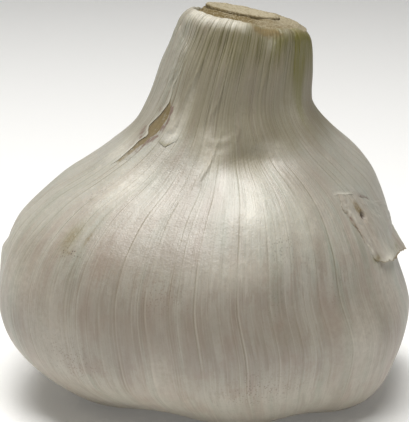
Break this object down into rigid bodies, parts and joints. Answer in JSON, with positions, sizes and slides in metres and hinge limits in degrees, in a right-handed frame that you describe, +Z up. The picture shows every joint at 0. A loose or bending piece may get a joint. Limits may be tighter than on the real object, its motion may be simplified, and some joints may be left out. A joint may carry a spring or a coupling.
{
  "type": "elephant garlic",
  "caption": "Whole dried elephant garlic bulb that stands on its cloves, with papery veined skin, a short cut neck showing its stalk stump, and a trimmed root plate.",
  "frame": {"origin": "on the resting surface, under the middle of the bulb's outline", "axes": "+Z up along the bulb, -Y towards its front with the slit and the flap in view, +X along its widest reach"},
  "size_m": [0.095, 0.091, 0.0898],
  "materials": {
    "bulb_skin": "dry papery skin with fine lengthwise veins, satin, faintly translucent",
    "cut_leaf": "cut ends of dried leaf sheaths, matt and fibrous",
    "stalk": "sawn end of a dried flower stalk, matt and fibrous",
    "root": "corky root plate with trimmed dry roots, matt",
    "loose_skin": "thin loose papery wrapper, satin, with torn edges"
  },
  "bodies": {
    "root": {"bulb": "bulb_skin", "inner_sheath": "cut_leaf", "stem_core": "stalk", "root_plate": "root", "outer_skin": "loose_skin", "skin_flap": "loose_skin"}
  },
  "joints": []
}
